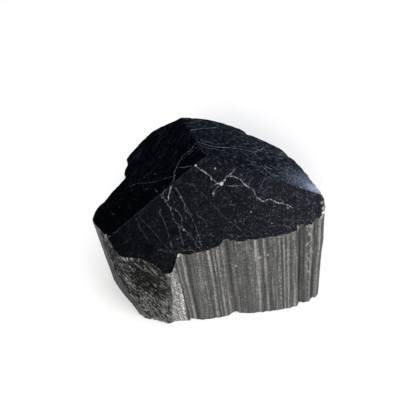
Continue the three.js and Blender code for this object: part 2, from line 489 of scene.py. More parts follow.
def makeStone():
    # one closed skin: the rings joined by quads, and a fan at each pole
    places, marks, (frontLeft, frontRight, leftRight) = layRings(makeColumns())
    count = skin["columns"]
    rings = len(places[0])
    baseRings = len(skin["baseShares"]) + 1
    rimRing = baseRings + skin["wallRows"] - 1
    apexX, apexY, _ = crystal["apex"]
    topPole = (apexX, apexY, float(facetHeight(np.array(apexX), np.array(apexY))))
    points = np.column_stack([axis.ravel() for axis in places])
    points = np.vstack([points, (0.0, 0.0, 0.0), topPole]) * mm
    points = np.clip(points, cadBox[0], cadBox[1])

    # quads (r, c), (r, c+1), (r+1, c+1), (r+1, c) face outwards; fans close both poles
    index = np.arange(rings * count).reshape(rings, count)
    beside = np.roll(index, -1, axis=1)
    quads = np.stack([index[:-1], beside[:-1], beside[1:], index[1:]], axis=-1).reshape(-1, 4)
    footFan = np.column_stack([np.full(count, rings * count), beside[0], index[0]])
    apexFan = np.column_stack([index[-1], beside[-1], np.full(count, rings * count + 1)])

    # finishes: 0 sawn, 1 natural, 2 front, 3 right, 4 left
    capFinish = np.full(count, 4)
    capFinish[frontLeft:frontRight] = 2
    capFinish[frontRight:leftRight] = 3
    finish = np.ones((rings - 1, count), int)
    finish[:baseRings - 1] = 0
    finish[rimRing + 1:] = capFinish
    finish = np.concatenate([finish.ravel(), np.zeros(count, int), capFinish])

    mesh = bpy.data.meshes.new("tourmaline_stone")
    mesh.from_pydata(points.tolist(), [], quads.tolist() + footFan.tolist() + apexFan.tolist())
    mesh.polygons.foreach_set("material_index", finish)
    mesh.shade_smooth()
    for name, rows in marks.items():
        values = np.zeros(rings * count + 2)
        values[baseRings * count:(rimRing + 1) * count] = rows.ravel()
        values[(rimRing + 1) * count:(rimRing + 2) * count] = rows[-1]
        mesh.attributes.new(name, "FLOAT", "POINT").data.foreach_set("value", values)
    markSharp(mesh, rings, [baseRings - 1, rimRing, rimRing + 1], [frontLeft, frontRight])
    mesh.validate()
    mesh.update()
    stone = bpy.data.objects.new("tourmaline_stone", mesh)
    bpy.context.collection.objects.link(stone)
    print("stone laid out:", len(mesh.vertices), "points,", 2 * len(quads) + 2 * count, "triangles")
    return stone


class Wire:
    # one output socket of a node tree; arithmetic on it adds Math nodes to the tree
    def __init__(self, socket):
        self.socket = socket

    @staticmethod
    def node(tree, kind, settings, inputs, output=0):
        # any node: its settings first, then the values or links of its sockets
        made = tree.nodes.new(kind)
        for key, setting in settings.items():
            if key == "curve":
                line = made.mapping.curves[0].points
                while len(line) < len(setting):
                    line.new(0.5, 0.5)
                for point, place in zip(line, setting):
                    point.location = place
                    point.handle_type = "VECTOR"
                made.mapping.update()
            else:
                setattr(made, key, setting)
        for key, value in inputs.items():
            if isinstance(value, Wire):
                tree.links.new(value.socket, made.inputs[key])
            else:
                made.inputs[key].default_value = value
        return Wire(made.outputs[output])

    @staticmethod
    def math(operation, *values):
        # one Math node on wires and plain numbers
        tree = next(value.socket.id_data for value in values if isinstance(value, Wire))
        return Wire.node(tree, "ShaderNodeMath", {"operation": operation}, dict(enumerate(values)))

    def other(self, output):
        # another output of the same node
        return Wire(self.socket.node.outputs[output])

    def __add__(self, other):
        return Wire.math("ADD", self, other)

    def __radd__(self, other):
        return Wire.math("ADD", other, self)

    def __sub__(self, other):
        return Wire.math("SUBTRACT", self, other)

    def __rsub__(self, other):
        return Wire.math("SUBTRACT", other, self)

    def __mul__(self, other):
        return Wire.math("MULTIPLY", self, other)

    def __rmul__(self, other):
        return Wire.math("MULTIPLY", other, self)

    def __truediv__(self, other):
        return Wire.math("DIVIDE", self, other)

    def __rtruediv__(self, other):
        return Wire.math("DIVIDE", other, self)

    def __pow__(self, other):
        return Wire.math("POWER", self, other)

    def __abs__(self):
        return Wire.math("ABSOLUTE", self)

    def atLeast(self, other):
        return Wire.math("MAXIMUM", self, other)

    def held(self):
        # held between 0 and 1 by a node of its own: many clamped Math nodes fill the renderer's stack
        return Wire.node(self.socket.id_data, "ShaderNodeClamp", {}, {"Value": self})


def mixColours(tree, share, first, second):
    # first * (1 - share) + second * share
    ends = {6: first, 7: second}
    ends = {key: (*end, 1.0) if isinstance(end, tuple) else end for key, end in ends.items()}
    settings = {"data_type": "RGBA", "blend_type": "MIX"}
    return Wire.node(tree, "ShaderNodeMix", settings, {0: share, **ends}, 2)


def objectPlace(tree):
    # Object coordinates, whole and as x, y, z
    place = Wire.node(tree, "ShaderNodeTexCoord", {}, {}, "Object")
    x = Wire.node(tree, "ShaderNodeSeparateXYZ", {}, {0: place}, 0)
    return place, x, x.other(1), x.other(2)


def joined(x, y, z=0.0):
    # x, y and z as one vector
    return Wire.node(x.socket.id_data, "ShaderNodeCombineXYZ", {}, {0: x, 1: y, 2: z})


def distanceFrom(x, y, placeX, placeY):
    # ((x - placeX)^2 + (y - placeY)^2)^0.5
    return ((x - placeX) ** 2 + (y - placeY) ** 2) ** 0.5


def bumped(height):
    # the normal of a surface with this height in millimetres
    inputs = {"Height": height, "Distance": mm, "Strength": 1.0}
    return Wire.node(height.socket.id_data, "ShaderNodeBump", {}, inputs)


def noise(tree, place, size, detail=2.0, roughness=0.5, stretch=(1.0, 1.0, 1.0), turn=0.0, shift=0.0):
    # noise with cells of this size in millimetres, turned about Z and stretched along each axis
    scale = [1.0 / (mm * size * part) for part in stretch]
    offset = (shift, 0.37 * shift, 0.71 * shift)
    turned = Wire.node(tree, "ShaderNodeMapping", {"vector_type": "TEXTURE"},
                       {"Vector": place, "Rotation": (0.0, 0.0, math.radians(turn))})
    laid = Wire.node(tree, "ShaderNodeMapping", {"vector_type": "POINT"},
                     {"Vector": turned, "Location": offset, "Scale": scale})
    inputs = {"Vector": laid, "Scale": 1.0, "Detail": detail, "Roughness": roughness}
    return Wire.node(tree, "ShaderNodeTexNoise", {}, inputs)


def newFinish(name):
    # an empty material with its Principled shader: (material, tree, shader)
    material = bpy.data.materials.new(name)
    material.use_nodes = True
    tree = material.node_tree
    tree.nodes.clear()
    shader = tree.nodes.new("ShaderNodeBsdfPrincipled")
    output = tree.nodes.new("ShaderNodeOutputMaterial")
    tree.links.new(shader.outputs[0], output.inputs["Surface"])
    return material, tree, shader


def connect(shader, inputs):
    # values and links of the shader's sockets
    for key, value in inputs.items():
        if isinstance(value, Wire):
            shader.id_data.links.new(value.socket, shader.inputs[key])
        else:
            shader.inputs[key].default_value = value


# polished facets: near-black, with pale veins, bluish hairs, dust and fine scratches
polish = {
    "black": (0.0003, 0.0004, 0.0008),
    "veinColour": (0.38, 0.39, 0.415),
    "warmFleck": (0.19, 0.172, 0.155),
    "glareAt": (35.0, -8.0, 16.0),  # painted reflection at the right end of the right facet: plan X, Y and reach
    "glareCore": (36.8, -13.0, 5.0),  # its whitest part
    "glareColour": (0.47, 0.57, 0.7),
    "veinWidth": 0.33,  # share of the listed half widths that is drawn
    "wander": (1.3, 2.1),  # how veins and hairs stray from their plan: cell size and reach
    "scratchLines": (0.32, 14.0, (18.0, 71.0, 128.0)),  # width, stretch, bearings
    "dustPerMetre": 620.0,
    "ridge": {"front": 0.12, "left": 0.1, "right": 0.0},
    "ridgeHalfWidth": 0.4,
    "roughness": 0.09,
    "refraction": 1.63,
    "front": {
        "fleckColour": (0.139, 0.167, 0.246),
        "grain": (0.48, 1.0, 0.0, 0.57, 0.17),  # size, stretch, bearing, threshold, strength
        "threads": [  # size, stretch, bearing, width, strength
            (0.9, 2.2, 8.0, 0.05, 0.07), (1.7, 2.4, 12.0, 0.03, 0.15),
        ],
        "hairs": [  # cell size, half width and half length in mm, bearing, spread, bend, strength, shift
            (1.2, 0.1, 0.35, 10.0, 250.0, 0.6, 0.4, 3.0), (2.2, 0.1, 0.9, 10.0, 150.0, 0.6, 0.4, 17.0),
            (4.4, 0.1, 2.2, 10.0, 130.0, 0.6, 0.6, 31.0), (0.8, 0.09, 0.34, 4.0, 120.0, 0.8, 0.6, 47.0),
        ],
        "scratches": 0.06, "dust": 0.32, "halo": 1.6, "glare": 0.0, "ripple": 0.0015,
        "gain": (0.79, 0.021), "warm": 0.6,  # the gain's second number is its rise per millimetre of X, a painted reflection brighter towards the right
    },
    "right": {
        "fleckColour": (0.146, 0.184, 0.258),
        "grain": (0.9, 2.2, -20.0, 0.595, 1.2),
        "threads": [(1.8, 2.2, -12.0, 0.045, 0.6)],
        "hairs": [
            (2.2, 0.28, 0.8, -14.0, 120.0, 1.0, 1.2, 5.0), (3.8, 0.28, 1.5, -14.0, 80.0, 0.8, 1.4, 19.0),
            (7.0, 0.28, 3.0, -10.0, 50.0, 0.5, 1.3, 37.0), (2.6, 0.28, 0.3, 0.0, 360.0, 1.0, 1.4, 53.0),
        ],
        "scratches": 0.06, "dust": 0.7, "halo": 0.5, "glare": 1.0, "ripple": 0.006,
        "gain": (0.6, 0.021), "warm": 0.25,
    },
    "left": {
        "fleckColour": (0.08, 0.125, 0.19),
        "grain": (0.9, 9.0, 64.0, 0.53, 0.17),
        "threads": [],
        "hairs": [
            (7.5, 0.2, 4.0, 64.0, 14.0, 0.2, 0.25, 23.0), (2.8, 0.14, 0.16, 0.0, 360.0, 1.0, 0.6, 43.0),
        ],
        "scratches": 0.02, "dust": 0.35, "halo": 0.0, "glare": 0.0, "ripple": 0.0015,
        "gain": (1.0, 0.0), "warm": 0.2,
    },
}

# each vein: points in plan, half width before its drawn share is taken, strength
veins = {
    "front": [
        ([(-5.7, -6.1), (-3.1, -8.2), (-1.0, -9.2), (0.1, -10.9), (1.9, -12.2), (3.4, -12.5)], 0.3, 1.0),
        ([(3.2, -12.5), (4.6, -11.1), (5.3, -9.9), (7.2, -9.1), (8.1, -7.9)], 0.28, 1.1),
        ([(5.0, -10.9), (5.4, -10.2), (7.2, -9.9), (9.1, -10.8), (10.4, -11.5), (11.0, -12.9), (12.5, -13.7),
          (14.5, -15.4), (14.9, -17.0), (17.2, -18.3), (19.7, -17.8), (22.2, -19.0), (25.5, -19.7),
          (27.3, -21.0)], 0.28, 1.1),
        ([(9.4, -9.4), (10.6, -10.4), (11.4, -11.9)], 0.22, 0.3),
        ([(3.2, -12.6), (6.3, -13.2), (8.4, -13.3), (10.6, -12.9)], 0.24, 0.6),
        ([(2.9, -12.6), (1.6, -12.7), (-0.1, -13.3), (-0.3, -14.0)], 0.24, 0.7),
        ([(2.6, -12.8), (1.4, -14.0), (0.6, -15.6), (0.6, -16.6)], 0.28, 0.8),
        ([(-13.9, -12.4), (-15.2, -13.3), (-16.1, -14.3), (-16.5, -15.2), (-15.9, -16.6),
          (-15.3, -17.6)], 0.24, 0.55),
        ([(-13.9, -12.3), (-14.0, -13.8), (-14.5, -15.2), (-14.6, -16.8), (-15.3, -17.8)], 0.34, 0.9),
        ([(-14.2, -14.2), (-14.6, -15.7), (-14.6, -17.0)], 0.65, 0.65),
        ([(-18.3, -14.6), (-16.8, -16.4), (-15.6, -17.7), (-15.0, -18.5), (-14.0, -19.8),
          (-13.5, -20.9)], 0.28, 0.59),
        ([(-14.0, -19.6), (-12.9, -20.0), (-12.1, -20.7), (-11.0, -21.0), (-10.6, -22.2), (-9.9, -23.2),
          (-9.9, -24.7), (-10.2, -25.4), (-9.1, -26.5), (-8.1, -27.7)], 0.24, 0.5),
        ([(-13.5, -20.6), (-12.9, -22.9), (-11.8, -24.4), (-10.7, -25.6), (-9.9, -26.3),
          (-8.5, -27.3)], 0.24, 0.42),
        ([(-11.2, -25.3), (-10.6, -27.0), (-9.8, -29.6), (-9.3, -31.9)], 0.26, 0.42),
        ([(-8.3, -27.4), (-6.7, -28.9), (-5.6, -30.4), (-4.8, -31.6), (-3.3, -33.3)], 0.24, 0.4),
        ([(-12.8, -12.7), (-11.7, -14.4), (-10.6, -16.1), (-9.6, -17.5), (-9.2, -19.2), (-8.6, -20.9),
          (-7.3, -22.4)], 0.24, 0.5),
        ([(-10.6, -16.2), (-9.2, -18.4), (-8.0, -20.5), (-7.0, -21.7), (-5.8, -24.8), (-4.8, -27.5),
          (-4.0, -29.9), (-3.1, -32.7)], 0.24, 0.4),
        ([(-6.9, -21.2), (-6.2, -20.5), (-4.9, -19.9), (-4.5, -19.1)], 0.19, 0.17),
        ([(-17.6, -19.5), (-17.4, -21.3), (-16.4, -23.3), (-15.2, -25.0), (-14.8, -26.8), (-13.9, -29.0),
          (-13.3, -31.4), (-12.6, -33.3)], 0.24, 0.36),
        ([(-25.1, -21.7), (-22.5, -24.4), (-20.0, -26.3), (-18.2, -28.4), (-16.3, -30.5), (-14.4, -32.4),
          (-12.7, -33.8)], 0.22, 0.26),
        ([(-18.0, -32.4), (-16.0, -33.0), (-14.0, -33.4), (-11.7, -33.1)], 0.24, 0.24),
        ([(-11.7, -33.1), (-9.4, -33.1), (-7.1, -32.9), (-4.8, -33.5)], 0.4, 0.26),
        ([(-11.1, -31.9), (-8.8, -32.6), (-6.5, -31.7)], 0.3, 0.22),
        ([(-25.5, -22.5), (-23.9, -25.5), (-22.5, -27.7), (-21.2, -29.6)], 0.22, 0.26),
        ([(-7.9, -12.6), (-7.2, -10.8), (-6.2, -12.0), (-5.5, -13.8)], 0.3, 0.42),
        ([(-3.5, -14.8), (0.3, -19.3), (3.7, -22.7), (6.6, -24.5), (8.2, -25.7), (10.2, -27.7),
          (11.6, -29.8)], 0.2, 0.31),
        ([(-5.4, -23.1), (-4.7, -26.2), (-3.9, -29.3), (-3.5, -31.1)], 0.17, 0.12),
        ([(-1.6, -28.8), (-0.1, -28.4), (1.3, -29.0)], 0.2, 0.3),
        ([(3.8, -28.6), (5.5, -28.4), (6.9, -29.1)], 0.2, 0.28),
        ([(7.0, -23.9), (8.2, -25.3), (8.8, -26.1)], 0.2, 0.22),
        ([(12.9, -21.7), (11.1, -24.2), (9.9, -25.7)], 0.2, 0.25),
        ([(23.1, -26.0), (25.2, -26.5), (26.6, -27.4)], 0.22, 0.4),
        ([(29.1, -23.6), (30.6, -25.0), (31.4, -26.0)], 0.22, 0.35),
        ([(26.8, -27.1), (31.0, -26.4), (34.4, -24.7)], 0.22, 0.25),
    ],
    "right": [
        ([(-5.7, 10.2), (-3.1, 9.1), (0.6, 8.1), (4.0, 9.0), (7.8, 10.7), (10.9, 11.5), (14.7, 11.5),
          (16.2, 10.8)], 0.4, 1.15),
        ([(16.2, 10.8), (18.0, 14.0), (19.8, 16.6), (21.1, 19.0)], 0.4, 0.95),
        ([(16.2, 10.8), (17.1, 8.2)], 0.4, 0.6),
        ([(-4.0, 5.5), (-1.0, 5.5), (3.0, 7.0)], 0.34, 0.6),
        ([(-8.4, 20.8), (-5.9, 23.7), (-3.2, 26.3), (2.7, 31.8)], 0.5, 0.75),
        ([(4.1, 30.6), (4.4, 28.0), (4.0, 25.5)], 0.3, 0.4),
        ([(-9.6, 27.7), (-6.9, 32.2), (-3.7, 37.1)], 3.0, 0.24),
        ([(20.6, 17.2), (23.2, 15.2), (26.8, 14.6), (30.3, 14.1)], 0.36, 0.75),
        ([(10.0, 14.0), (13.5, 19.5)], 0.35, 0.45),
        ([(27.4, 16.6), (29.9, 14.1)], 0.4, 0.6),
        ([(17.7, -1.2), (19.0, -3.6), (20.6, -7.0), (21.7, -7.7), (22.8, -8.5)], 0.4, 0.75),
    ],
    "left": [
        ([(-5.5, 9.5), (-7.0, 5.5), (-10.5, 3.5), (-12.0, -1.5), (-13.0, -5.0), (-13.0, -9.5),
          (-14.0, -11.5)], 0.26, 0.8),
        ([(-4.0, 6.0), (-6.5, 4.5), (-8.5, 2.5), (-11.0, 1.0)], 0.24, 0.55),
        ([(-30.5, -2.0), (-27.0, -2.5), (-23.5, -4.5), (-19.5, -6.5), (-14.5, -7.0),
          (-12.8, -8.3)], 0.22, 0.45),
        ([(-12.0, -3.0), (-9.5, -4.8), (-6.5, -5.5)], 0.24, 0.75),
        ([(-25.0, -1.0), (-24.0, 1.0), (-22.0, 2.0)], 0.22, 0.45),
        ([(-20.0, -10.5), (-18.5, -13.5)], 0.22, 0.55),
    ],
}

# pale spots: plan X, Y, radius, strength
spots = {
    "front": [
        (3.3, -12.5, 0.5, 1.0), (13.2, -21.7, 0.22, 0.4), (1.2, -7.4, 0.28, 0.5), (25.5, -20.7, 0.3, 0.3),
        (20.0, -25.3, 0.2, 0.3), (-5.5, -6.2, 0.35, 0.8), (0.5, -15.5, 0.3, 0.4), (37.0, -19.3, 0.5, 0.35),
        (37.5, -21.5, 0.4, 0.3), (-10.4, -16.4, 0.3, 0.25), (30.6, -13.9, 0.4, 0.6), (-9.3, -26.7, 0.28, 0.4),
    ],
    "right": [
        (9.0, 21.5, 0.4, 0.3), (6.0, 15.1, 0.35, 0.3), (14.4, -1.5, 0.35, 0.3), (30.4, -14.0, 0.4, 0.9),
    ],
    "left": [
        (-20.5, -1.0, 0.17, 0.5), (-34.6, -15.8, 0.15, 0.4), (-24.0, -8.0, 0.15, 0.3),
        (-28.8, -5.4, 0.13, 0.25), (-22.8, -8.8, 0.13, 0.3), (-28.2, -16.4, 0.13, 0.3),
        (-24.6, -5.7, 0.13, 0.25), (-19.4, 9.6, 0.14, 0.3), (-13.1, 8.2, 0.14, 0.3),
        (-32.7, -13.0, 0.13, 0.25), (-34.3, -28.0, 0.3, 0.3),
    ],
}

# clean dark patches: plan X, Y, radius
barePatches = {"front": [(-20.9, -32.2, 2.3), (-12.6, -27.3, 1.4)], "right": [], "left": []}


def veinMask(x, y, vein):
    # u along the chord and v across it: (1.2 - |v - bend(u)| / half width) * strength^1.6, faded over
    # half a millimetre at both ends, and a halo of the same kind seven times as wide
    path, halfWidth, strength = vein
    halfWidth = halfWidth * polish["veinWidth"]
    path = np.array(path, float)
    chord = path[-1] - path[0]
    length = math.hypot(*chord)
    alongX, alongY = chord / length
    shares = (path - path[0]) @ (alongX, alongY) / length
    offsets = (path - path[0]) @ (-alongY, alongX)
    swing = max(abs(offsets).max(), 0.2)
    startX, startY = path[0]
    u = ((x - startX) * alongX + (y - startY) * alongY) / length
    v = (y - startY) * alongX - (x - startX) * alongY
    knots = [(share, 0.5 + 0.5 * offset / swing) for share, offset in zip(shares, offsets)]
    bend = Wire.node(u.socket.id_data, "ShaderNodeFloatCurve", {"curve": knots}, {"Value": u})
    away = abs(v - (bend - 0.5) * (2 * swing)) / halfWidth
    ends = (u * (length / 0.5)).held() * ((1 - u) * (length / 0.5)).held() * strength**1.6
    return (1.2 - away).held() * ends, (1 - away / 7.0).held() * ends


def spotMask(x, y, spot):
    # 1.5 - distance / radius, held between 0 and 1, times strength
    placeX, placeY, radius, strength = spot
    return (1.5 - distanceFrom(x, y, placeX, placeY) * (1.0 / radius)).held() * strength


def fallOff(x, y, place):
    # 1.15 - distance / reach, held between 0 and 1
    placeX, placeY, reach = place
    return (1.15 - distanceFrom(x, y, placeX, placeY) / reach).held()


def contour(field, level, width):
    # thin line where the field passes a level: 1 - |field - level| / width
    return (1 - abs(field - level) / width).held()


def strongest(masks):
    # the largest of several masks, each made only when its turn comes
    top = None
    for mask in masks:
        top = mask if top is None else top.atLeast(mask)
    return top


def hairMask(tree, x, y, hair):
    # one bent line in each cell of a random mosaic, turned at random about the bearing:
    # (1.2 - |across| / half width) * (1.5 - 1.5 * |along| / half length) * random^3 * strength
    size, halfWidth, halfLength, bearing, spread, bend, strength, shift = hair
    plan = joined(x / size + shift, y / size + 0.37 * shift)
    mosaic = {"voronoi_dimensions": "2D"}
    colour = Wire.node(tree, "ShaderNodeTexVoronoi", mosaic, {0: plan, "Scale": 1.0}, 1)
    first = Wire.node(tree, "ShaderNodeSeparateColor", {}, {0: colour}, 0)
    offset = Wire.node(tree, "ShaderNodeVectorMath", {"operation": "SUBTRACT"}, {0: plan, 1: colour.other(2)})
    offsetX = Wire.node(tree, "ShaderNodeSeparateXYZ", {}, {0: offset}, 0)
    offsetY = offsetX.other(1) * size
    offsetX = offsetX * size
    turn = (first - 0.5) * math.radians(spread) + math.radians(bearing)
    cosine = Wire.math("COSINE", turn)
    sine = Wire.math("SINE", turn)
    along = offsetX * cosine + offsetY * sine
    across = offsetY * cosine - offsetX * sine + (first.other(1) - 0.5) * along * along * (bend / halfLength)
    line = (1.2 - abs(across) / halfWidth).held() * (1.5 - abs(along) * (1.5 / halfLength)).held()
    return line * first.other(2) ** 3 * strength


def scratchMask(tree, place, turn, strength):
    # long narrow noise above 0.66, turned to one bearing
    width, stretch, _ = polish["scratchLines"]
    narrow = noise(tree, place, width, 1.0, 0.5, (stretch, 1.0, stretch), turn, shift=turn)
    return ((narrow - 0.66) * 14.0).held() * strength


def dustMask(tree, flat, strength):
    # a round speck in the luckier cells of a fine mosaic: 1.3 - 9 * distance
    cells = {0: flat, "Scale": polish["dustPerMetre"]}
    speck = Wire.node(tree, "ShaderNodeTexVoronoi", {"voronoi_dimensions": "2D"}, cells, 0)
    lucky = Wire.node(tree, "ShaderNodeSeparateColor", {}, {0: speck.other(1)}, 0)
    return (1.3 - speck * 9.0).held() * ((lucky - 0.4) * 1.7).held() ** 2 * strength


def ridgeMask(x, y):
    # 1 - distance from the line in which front and left meet / half width
    turn = ridgeBearing("front", "left")
    acrossX = (x - crystal["apex"][0]) * math.sin(turn)
    away = abs(acrossX - (y - crystal["apex"][1]) * math.cos(turn))
    return (1.0 - away / polish["ridgeHalfWidth"]).held()


def polishedFacet(side):
    # colour = black, then the fleck colour by haze and painted glare, the glare's core, and the vein colour
    # by pale;
    # hazeAndGlare = (the strongest of hairs, threads, scratches and dust + grain) * gain + ridge + painted
    # glare
    look = polish[side]
    material, tree, shader = newFinish("polished_" + side)
    place, placeX, placeY, _ = objectPlace(tree)
    flat = joined(placeX, placeY)
    trueX = placeX * 1000
    trueY = placeY * 1000
    size, reach = polish["wander"]
    x = trueX + (noise(tree, place, size, 3.0, 0.8) - 0.5) * reach
    y = trueY + (noise(tree, place, size, 3.0, 0.8, shift=7.3) - 0.5) * reach

    # veins broken up along their run, and spots
    lines, halo = veinMask(x, y, veins[side][0])
    for vein in veins[side][1:]:
        line, glow = veinMask(x, y, vein)
        lines = lines.atLeast(line)
        halo = halo.atLeast(glow)
    patchy = (noise(tree, place, 0.8, 3.0, 0.7, shift=3.1) * 6.5 - 2.7).held()
    pale = lines * (0.25 + 0.75 * patchy)
    for spot in spots[side]:
        pale = pale.atLeast(spotMask(trueX, trueY, spot))

    # hairs, more of them where a broad noise is high and close to the veins
    hairs = strongest(hairMask(tree, x, y, hair) for hair in look["hairs"])
    where = (noise(tree, place, 4.0, 3.0, 0.7, shift=1.7) * 5.0 - 2.1).held()
    hairs = hairs * (0.45 + 0.7 * where + look["halo"] * halo)

    # threads: thin contour lines of a noise, broken up by another
    for size, stretch, bearing, width, strength in look["threads"]:
        field = noise(tree, flat, size, 1.0, 0.6, (stretch, 1.0, 1.0), bearing, shift=5.9 * size)
        shown = ((noise(tree, place, 1.2 * size, 2.0, 0.6, shift=2.3 * size) - 0.44) * 6.0).held()
        hairs = hairs.atLeast(contour(field, 0.5, width) * shown * (0.35 + 0.65 * where) * strength)

    # grain, scratches, dust, and clean patches
    size, stretch, bearing, threshold, strength = look["grain"]
    grain = noise(tree, flat, size, 3.0, 0.65, (stretch, 1.0, 1.0), bearing, shift=14.2)
    grain = ((grain - threshold) * 8.0).held() * (0.5 + 0.6 * where) * strength
    if side == "left":  # less of everything towards the front: a painted sheen, brighter towards the back
        grain = grain * ((y + 12.0) / 40.0).held()
        hairs = hairs * (0.4 + 0.6 * ((y + 14.0) / 22.0).held())
    bearings = polish["scratchLines"][2]
    scratches = strongest(scratchMask(tree, place, turn, look["scratches"]) for turn in bearings)
    dust = dustMask(tree, flat, look["dust"])
    # painted reflection: the haze grows stronger towards +X
    gain, slope = look["gain"]
    hazeAndGlare = (hairs.atLeast(scratches).atLeast(dust) + grain) * (gain + slope * x)
    for patchX, patchY, radius in barePatches[side]:
        hazeAndGlare = hazeAndGlare * (distanceFrom(x, y, patchX, patchY) * (2.5 / radius) - 1.5).held()

    # a lighter line along the ridge, and painted glare at the right end of the right facet: a reflection
    # painted as pale flecks that thin out away from it
    if polish["ridge"][side] > 0.0:
        hazeAndGlare = hazeAndGlare + ridgeMask(x, y) * (0.2 + 0.8 * patchy) * polish["ridge"][side]
    if look["glare"] > 0.0:
        glareMottle = noise(tree, flat, 0.62, 2.0, 0.7, shift=21.0)
        glow = fallOff(x, y, polish["glareAt"])
        hazeAndGlare = hazeAndGlare + (glow * glow * 0.18 + (glow * 0.34 + glareMottle - 0.7).held() * 4.8) * look["glare"]

    warmth = (noise(tree, place, 2.5, 2.0, 0.6, shift=4.4) * 4.0 - 1.6).held() * look["warm"]
    fleckColour = mixColours(tree, warmth, look["fleckColour"], polish["warmFleck"])
    colour = mixColours(tree, hazeAndGlare.held(), polish["black"], fleckColour)
    # painted glare: the reflection's whitest core mixed towards a pale blue
    if look["glare"] > 0.0:
        core = (fallOff(x, y, polish["glareCore"]) * (1.0 + (glareMottle - 0.5) * 4.5)).held()
        colour = mixColours(tree, core, colour, polish["glareColour"])
    colour = mixColours(tree, pale.held(), colour, polish["veinColour"])
    uneven = noise(tree, place, 9.0, 2.0, 0.5)
    roughness = polish["roughness"] + 0.04 * uneven + 0.12 * hazeAndGlare + 0.35 * pale
    swell = noise(tree, place, 6.0, 1.0, 0.5, shift=2.2) * 0.02
    ripple = noise(tree, place, 0.8, 2.0, 0.5, shift=6.1) * look["ripple"]
    connect(shader, {
        "Base Color": colour, "Roughness": roughness.held(),
        "Normal": bumped(swell + ripple - 0.03 * pale), "IOR": polish["refraction"],
    })
    return material


# natural wall: dark grey, fine lines along the prism, worn edges and painted highlights light, painted shade
# in grooves and the hollow, broken corner fibrous
wallLook = {
    "dark": (0.018, 0.018, 0.0176),
    "grey": (0.057, 0.0567, 0.0548),
    # the lightest: worn crests, cracks, nicks, and painted highlights along the steps
    "wornAndLit": (0.206, 0.2, 0.188),
    "breakDark": (0.0045, 0.005, 0.0042),
    "breakLight": (0.148, 0.146, 0.134),
    # painted shade in the hollow
    "deep": (0.009, 0.0115, 0.009),
    # whitish: pale chips, and the painted highlight along the crest beside the break
    "chalkAndHighlight": (0.62, 0.61, 0.58),
    "roughness": 0.46,
    "refraction": 1.3,
    # nicks: X on the resting plane, height, radius
    "nicks": [(19.8, 31.9, 0.45), (22.5, 32.9, 0.4), (11.4, 28.1, 0.4)],
    "crack": (2.4, 0.035),  # cell size of the noise whose contours they are, and their width in it
    "fibre": (0.45, 5.0),  # width and stretch
    "splinter": (1.2, 3.0),
    "paleFoot": 26.0,  # the break gets darker up to this height: painted shade under the polished rim
}


